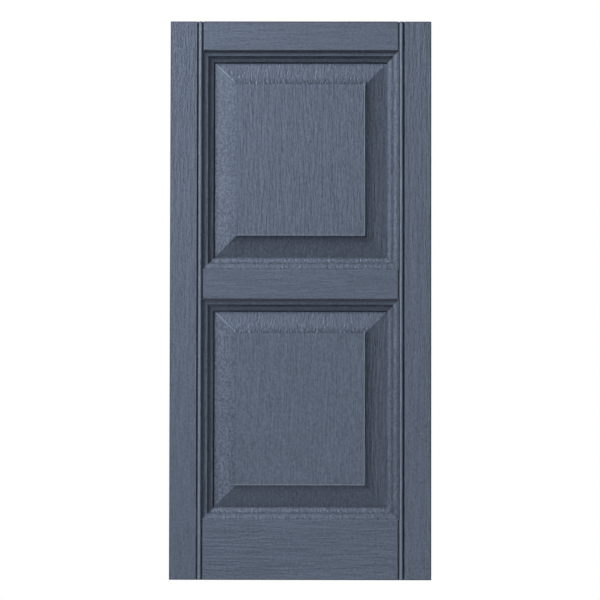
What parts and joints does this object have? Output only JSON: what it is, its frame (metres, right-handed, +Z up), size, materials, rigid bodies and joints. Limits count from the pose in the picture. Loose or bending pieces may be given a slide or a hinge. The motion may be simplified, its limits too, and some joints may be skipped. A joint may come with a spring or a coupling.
{
  "type": "raised panel shutter",
  "caption": "Exterior vinyl shutter with stiles, rails and scooped raised panels ringed by coved mouldings; fixed flat against a wall beside a window.",
  "frame": {"origin": "bottom middle of the back, in the plane that lies against the wall", "axes": "+X to the right seen from the front, +Y from the front into the wall, +Z up; the raised side faces -Y"},
  "size_m": [0.3682, 0.0318, 0.7874],
  "materials": {
    "upright_grain_vinyl": "slate blue-grey moulded vinyl, embossed with fine upright wood grain",
    "level_grain_vinyl": "slate blue-grey moulded vinyl, embossed with wood grain along the rail"
  },
  "bodies": {
    "root": {"left_stile": "upright_grain_vinyl", "right_stile": "upright_grain_vinyl", "top_rail": "level_grain_vinyl", "middle_rail": "level_grain_vinyl", "bottom_rail": "level_grain_vinyl", "upper_panel": "upright_grain_vinyl", "lower_panel": "upright_grain_vinyl", "upper_panel_top_moulding": "upright_grain_vinyl", "upper_panel_bottom_moulding": "upright_grain_vinyl", "upper_panel_left_moulding": "upright_grain_vinyl", "upper_panel_right_moulding": "upright_grain_vinyl", "lower_panel_top_moulding": "upright_grain_vinyl", "lower_panel_bottom_moulding": "upright_grain_vinyl", "lower_panel_left_moulding": "upright_grain_vinyl", "lower_panel_right_moulding": "upright_grain_vinyl"}
  },
  "joints": []
}
